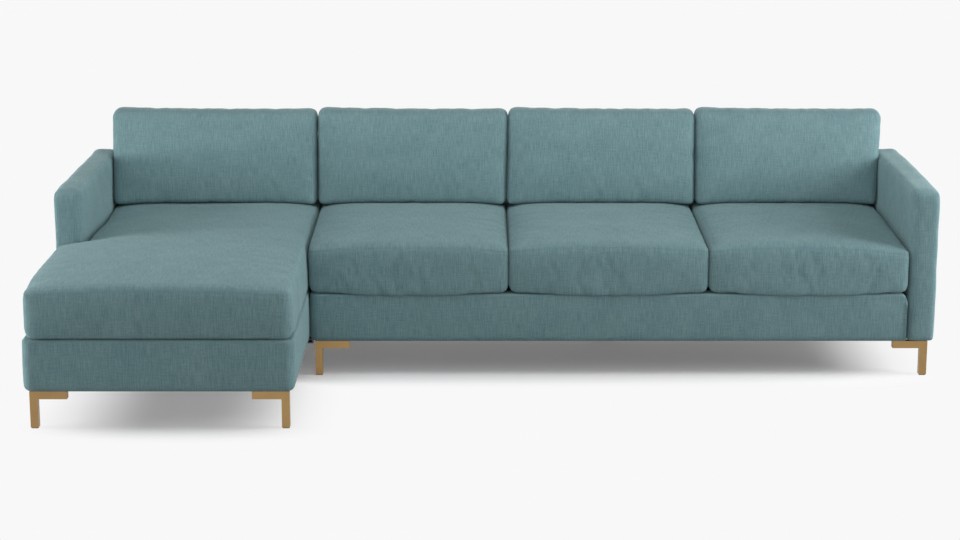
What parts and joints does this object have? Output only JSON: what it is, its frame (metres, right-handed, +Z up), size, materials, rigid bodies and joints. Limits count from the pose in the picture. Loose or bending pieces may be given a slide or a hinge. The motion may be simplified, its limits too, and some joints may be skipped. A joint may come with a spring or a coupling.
{
  "type": "sectional sofa",
  "caption": "Sectional sofa with a chaise on the left: loose boxed seat and back cushions on a padded base, slim square arms, square-bar corner legs.",
  "frame": {"origin": "on the floor under the middle of the whole sofa", "axes": "+X along the three-seat section away from the chaise, front faces -Y, +Z up"},
  "size_m": [2.946, 1.45, 0.8116],
  "materials": {
    "upholstery": "matte plain weave with slubs",
    "foam": "matte open-cell foam",
    "frame_wood": "matte sawn timber",
    "spring_steel": "satin",
    "zinc_steel": "satin",
    "connector_steel": "satin",
    "deck_cloth": "matte",
    "dust_cloth": "matte spun-bonded cloth",
    "webbing": "matte",
    "brushed_brass": "satin",
    "felt": "matte",
    "black_plastic": "matte"
  },
  "bodies": {
    "sofa_section": {"front_rail": "frame_wood", "back_rail": "frame_wood", "end_rails": "frame_wood", "cross_rails": "frame_wood", "corner_blocks": "frame_wood", "seat_springs": "spring_steel", "spring_clips": "spring_steel", "deck": "deck_cloth", "dust_cover": "dust_cloth", "front_cover": "upholstery", "end_cover": "upholstery", "back_frame": "frame_wood", "back_webbing": "webbing", "back_cover": "upholstery", "right_arm_frame": "frame_wood", "right_arm_cover": "upholstery", "right_arm_bolts": "zinc_steel", "legs": "brushed_brass", "leg_screws": "zinc_steel", "leg_glides": "felt", "support_leg": "black_plastic", "connector_jaws": "connector_steel"},
    "chaise_section": {"chaise_front_rail": "frame_wood", "chaise_back_rail": "frame_wood", "chaise_side_rails": "frame_wood", "chaise_cross_rails": "frame_wood", "chaise_corner_blocks": "frame_wood", "chaise_springs": "spring_steel", "chaise_spring_clips": "spring_steel", "chaise_deck": "deck_cloth", "chaise_dust_cover": "dust_cloth", "chaise_front_cover": "upholstery", "chaise_side_covers": "upholstery", "chaise_back_frame": "frame_wood", "chaise_back_webbing": "webbing", "chaise_back_cover": "upholstery", "left_arm_frame": "frame_wood", "left_arm_cover": "upholstery", "left_arm_bolts": "zinc_steel", "chaise_legs": "brushed_brass", "chaise_leg_screws": "zinc_steel", "chaise_leg_glides": "felt", "connector_rods": "connector_steel"},
    "left_seat_cushion": {"left_seat_core": "foam", "left_seat_cover": "upholstery"},
    "middle_seat_cushion": {"middle_seat_core": "foam", "middle_seat_cover": "upholstery"},
    "right_seat_cushion": {"right_seat_core": "foam", "right_seat_cover": "upholstery"},
    "left_back_cushion": {"left_back_core": "foam", "left_back_cushion_cover": "upholstery"},
    "middle_back_cushion": {"middle_back_core": "foam", "middle_back_cushion_cover": "upholstery"},
    "right_back_cushion": {"right_back_core": "foam", "right_back_cushion_cover": "upholstery"},
    "chaise_seat_cushion": {"chaise_seat_core": "foam", "chaise_seat_cover": "upholstery"},
    "chaise_back_cushion": {"chaise_back_core": "foam", "chaise_back_cushion_cover": "upholstery"}
  },
  "joints": [
    {"name": "chaise_release", "type": "slide", "parent": "sofa_section", "child": "chaise_section", "axis": [-1, 0, 0], "range_m": [0, 0.3]},
    {"name": "left_seat_pull", "type": "slide", "parent": "sofa_section", "child": "left_seat_cushion", "axis": [0, -1, 0], "range_m": [0, 0.8]},
    {"name": "middle_seat_pull", "type": "slide", "parent": "sofa_section", "child": "middle_seat_cushion", "axis": [0, -1, 0], "range_m": [0, 0.8]},
    {"name": "right_seat_pull", "type": "slide", "parent": "sofa_section", "child": "right_seat_cushion", "axis": [0, -1, 0], "range_m": [0, 0.8]},
    {"name": "left_back_lift", "type": "slide", "parent": "sofa_section", "child": "left_back_cushion", "axis": [0, 0, 1], "range_m": [0, 0.36]},
    {"name": "middle_back_lift", "type": "slide", "parent": "sofa_section", "child": "middle_back_cushion", "axis": [0, 0, 1], "range_m": [0, 0.36]},
    {"name": "right_back_lift", "type": "slide", "parent": "sofa_section", "child": "right_back_cushion", "axis": [0, 0, 1], "range_m": [0, 0.36]},
    {"name": "chaise_seat_pull", "type": "slide", "parent": "chaise_section", "child": "chaise_seat_cushion", "axis": [0, -1, 0], "range_m": [0, 1.4]},
    {"name": "chaise_back_lift", "type": "slide", "parent": "chaise_section", "child": "chaise_back_cushion", "axis": [0, 0, 1], "range_m": [0, 0.36]}
  ]
}
